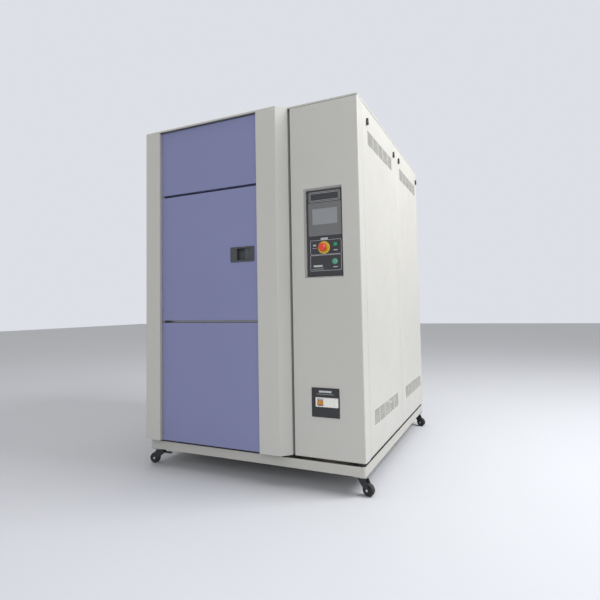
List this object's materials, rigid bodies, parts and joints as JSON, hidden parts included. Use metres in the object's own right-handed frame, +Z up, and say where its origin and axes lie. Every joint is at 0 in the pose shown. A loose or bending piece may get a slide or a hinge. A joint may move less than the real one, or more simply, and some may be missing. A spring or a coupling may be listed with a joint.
{
  "type": "three-zone thermal shock test chamber",
  "caption": "Free-standing environmental test chamber with a hinged insulated test door, control column, removable side panels and braked swivel casters.",
  "frame": {"origin": "on the floor, in the middle of the width and depth of the whole machine", "axes": "+X to the right seen from the front, +Y to the back, +Z up; the front faces -Y"},
  "size_m": [1.2832, 1.495, 1.84],
  "materials": {
    "plinth": "satin powder coat",
    "grey_paint": "satin powder coat",
    "blue_paint": "satin powder coat",
    "black_paint": "black enamel",
    "zinc": "zinc plated",
    "stainless": "brushed stainless",
    "foam": "rigid foam with aluminium skin",
    "silicone": "silicone seal",
    "fins": "finned coil",
    "motor": "satin enamel",
    "grey_plastic": "moulded",
    "white_plastic": "moulded",
    "black_plastic": "moulded",
    "handle_grey": "moulded, fine grain",
    "control_black": "satin black",
    "screen_grey": "moulded",
    "display": "matt display face",
    "yellow_plastic": "moulded",
    "red_plastic": "moulded",
    "green_plastic": "moulded",
    "lamp_green": "translucent lens",
    "amber_plastic": "moulded",
    "tread": "hard rubber"
  },
  "bodies": {
    "cabinet": {"base_plinth": "plinth", "caster_plates": "zinc", "machine_frame": "zinc", "chamber_shell": "foam", "test_liner": "stainless", "specimen_shelf": "stainless", "bay_left_stile": "grey_paint", "bay_right_stile": "grey_paint", "hot_zone_cover": "blue_paint", "cold_zone_cover": "blue_paint", "door_hinge_brackets": "zinc", "top_cover": "grey_paint", "main_breaker": "white_plastic", "mounting_plates": "zinc", "switchgear": "grey_plastic", "right_front_panel": "grey_paint", "right_rear_panel": "grey_paint", "left_side_panels": "grey_paint", "rear_panel": "grey_paint", "power_gland": "black_plastic", "heater": "stainless", "evaporator": "fins", "blower_motors": "motor", "compressors": "black_paint", "condenser": "motor"},
    "test_door": {"test_door_panel": "blue_paint", "test_door_core": "foam", "test_door_plug": "stainless", "test_door_gasket": "silicone", "handle_bezel": "handle_grey"},
    "handle_paddle": {"handle_paddle": "handle_grey"},
    "latch_bolt": {"latch_bolt": "zinc"},
    "column_door": {"column_door_panel": "grey_paint", "control_plate": "control_black", "screen_bezel": "screen_grey", "display_glass": "display", "estop_base": "yellow_plastic", "breaker_bezel": "black_plastic"},
    "estop_button": {"estop_button": "red_plastic"},
    "start_button": {"start_button": "green_plastic"},
    "power_button": {"power_button": "lamp_green"},
    "breaker_toggle": {"breaker_toggle": "amber_plastic"},
    "panel_latch_1": {"panel_latch_1": "black_plastic"},
    "panel_latch_2": {"panel_latch_2": "black_plastic"},
    "panel_latch_3": {"panel_latch_3": "black_plastic"},
    "panel_latch_4": {"panel_latch_4": "black_plastic"},
    "hot_blower_wheel": {"hot_blower_wheel": "stainless"},
    "cold_blower_wheel": {"cold_blower_wheel": "stainless"},
    "hot_damper": {"hot_damper": "stainless"},
    "cold_damper": {"cold_damper": "stainless"},
    "front_left_fork": {"front_left_fork": "black_paint"},
    "front_left_wheel": {"front_left_wheel": "tread"},
    "front_left_brake_pedal": {"front_left_brake_pedal": "black_paint"},
    "front_right_fork": {"front_right_fork": "black_paint"},
    "front_right_wheel": {"front_right_wheel": "tread"},
    "rear_left_fork": {"rear_left_fork": "black_paint"},
    "rear_left_wheel": {"rear_left_wheel": "tread"},
    "rear_right_fork": {"rear_right_fork": "black_paint"},
    "rear_right_wheel": {"rear_right_wheel": "tread"}
  },
  "joints": [
    {"name": "test_door_hinge", "type": "hinge", "parent": "cabinet", "child": "test_door", "pos_m": [-0.499, -0.7225, 1.12792], "axis": [0, 0, -1], "range_deg": [0, 95]},
    {"name": "paddle_pull", "type": "hinge", "parent": "test_door", "child": "handle_paddle", "pos_m": [0.057, -0.7265, 1.123], "axis": [0, 0, 1], "range_deg": [0, 35], "stiffness_Nm_per_rad": 0.3},
    {"name": "latch_bolt_slide", "type": "slide", "parent": "test_door", "child": "latch_bolt", "axis": [-1, 0, 0], "range_m": [0, 0.008]},
    {"name": "column_door_hinge", "type": "hinge", "parent": "cabinet", "child": "column_door", "pos_m": [0.608, -0.6305, 0.99], "axis": [0, 0, 1], "range_deg": [0, 110]},
    {"name": "estop_press", "type": "slide", "parent": "column_door", "child": "estop_button", "axis": [0, 1, 0], "range_m": [0, 0.005], "stiffness_N_per_m": 900},
    {"name": "start_press", "type": "slide", "parent": "column_door", "child": "start_button", "axis": [0, 1, 0], "range_m": [0, 0.003], "stiffness_N_per_m": 500},
    {"name": "power_press", "type": "slide", "parent": "column_door", "child": "power_button", "axis": [0, 1, 0], "range_m": [0, 0.003], "stiffness_N_per_m": 500},
    {"name": "breaker_switch", "type": "hinge", "parent": "cabinet", "child": "breaker_toggle", "pos_m": [0.402, -0.6945, 0.4085], "axis": [-1, 0, 0], "range_deg": [0, 50]},
    {"name": "latch_1_turn", "type": "hinge", "parent": "cabinet", "child": "panel_latch_1", "pos_m": [0.615, -0.5525, 1.746], "axis": [-1, 0, 0], "range_deg": [0, 90]},
    {"name": "latch_2_turn", "type": "hinge", "parent": "cabinet", "child": "panel_latch_2", "pos_m": [0.615, 0.0091, 1.746], "axis": [1, 0, 0], "range_deg": [0, 90]},
    {"name": "latch_3_turn", "type": "hinge", "parent": "cabinet", "child": "panel_latch_3", "pos_m": [0.615, 0.1461, 1.746], "axis": [-1, 0, 0], "range_deg": [0, 90]},
    {"name": "latch_4_turn", "type": "hinge", "parent": "cabinet", "child": "panel_latch_4", "pos_m": [0.615, 0.7125, 1.746], "axis": [1, 0, 0], "range_deg": [0, 90]},
    {"name": "hot_blower_spin", "type": "hinge", "parent": "cabinet", "child": "hot_blower_wheel", "pos_m": [-0.2055, 0, 1.63907], "axis": [0, 1, 0], "continuous": true},
    {"name": "cold_blower_spin", "type": "hinge", "parent": "cabinet", "child": "cold_blower_wheel", "pos_m": [-0.2055, 0, 0.4656], "axis": [0, 1, 0], "continuous": true},
    {"name": "hot_damper_turn", "type": "hinge", "parent": "cabinet", "child": "hot_damper", "pos_m": [-0.2055, -0.36, 1.41578], "axis": [1, 0, 0], "range_deg": [0, 90]},
    {"name": "cold_damper_turn", "type": "hinge", "parent": "cabinet", "child": "cold_damper", "pos_m": [-0.2055, -0.36, 0.83406], "axis": [1, 0, 0], "range_deg": [0, 90]},
    {"name": "front_left_swivel", "type": "hinge", "parent": "cabinet", "child": "front_left_fork", "pos_m": [-0.583, -0.6575, 0.08], "axis": [0, 0, 1], "continuous": true},
    {"name": "front_left_roll", "type": "hinge", "parent": "front_left_fork", "child": "front_left_wheel", "pos_m": [-0.6128, -0.66604, 0.028], "axis": [0.2756, -0.9613, 0], "continuous": true},
    {"name": "front_left_brake", "type": "hinge", "parent": "front_left_fork", "child": "front_left_brake_pedal", "pos_m": [-0.56377, -0.65199, 0.0597], "axis": [-0.2756, 0.9613, 0], "range_deg": [0, 20]},
    {"name": "front_right_swivel", "type": "hinge", "parent": "cabinet", "child": "front_right_fork", "pos_m": [0.583, -0.6575, 0.08], "axis": [0, 0, 1], "continuous": true},
    {"name": "front_right_roll", "type": "hinge", "parent": "front_right_fork", "child": "front_right_wheel", "pos_m": [0.6128, -0.66604, 0.028], "axis": [0.2756, 0.9613, 0], "continuous": true},
    {"name": "rear_left_swivel", "type": "hinge", "parent": "cabinet", "child": "rear_left_fork", "pos_m": [-0.583, 0.6765, 0.08], "axis": [0, 0, 1], "continuous": true},
    {"name": "rear_left_roll", "type": "hinge", "parent": "rear_left_fork", "child": "rear_left_wheel", "pos_m": [-0.6128, 0.66796, 0.028], "axis": [0.2756, -0.9613, 0], "continuous": true},
    {"name": "rear_right_swivel", "type": "hinge", "parent": "cabinet", "child": "rear_right_fork", "pos_m": [0.583, 0.6765, 0.08], "axis": [0, 0, 1], "continuous": true},
    {"name": "rear_right_roll", "type": "hinge", "parent": "rear_right_fork", "child": "rear_right_wheel", "pos_m": [0.6128, 0.66796, 0.028], "axis": [0.2756, 0.9613, 0], "continuous": true}
  ],
  "couplings": [
    {"joint": "latch_bolt_slide", "follows": "paddle_pull", "m_per_rad": 0.013}
  ]
}
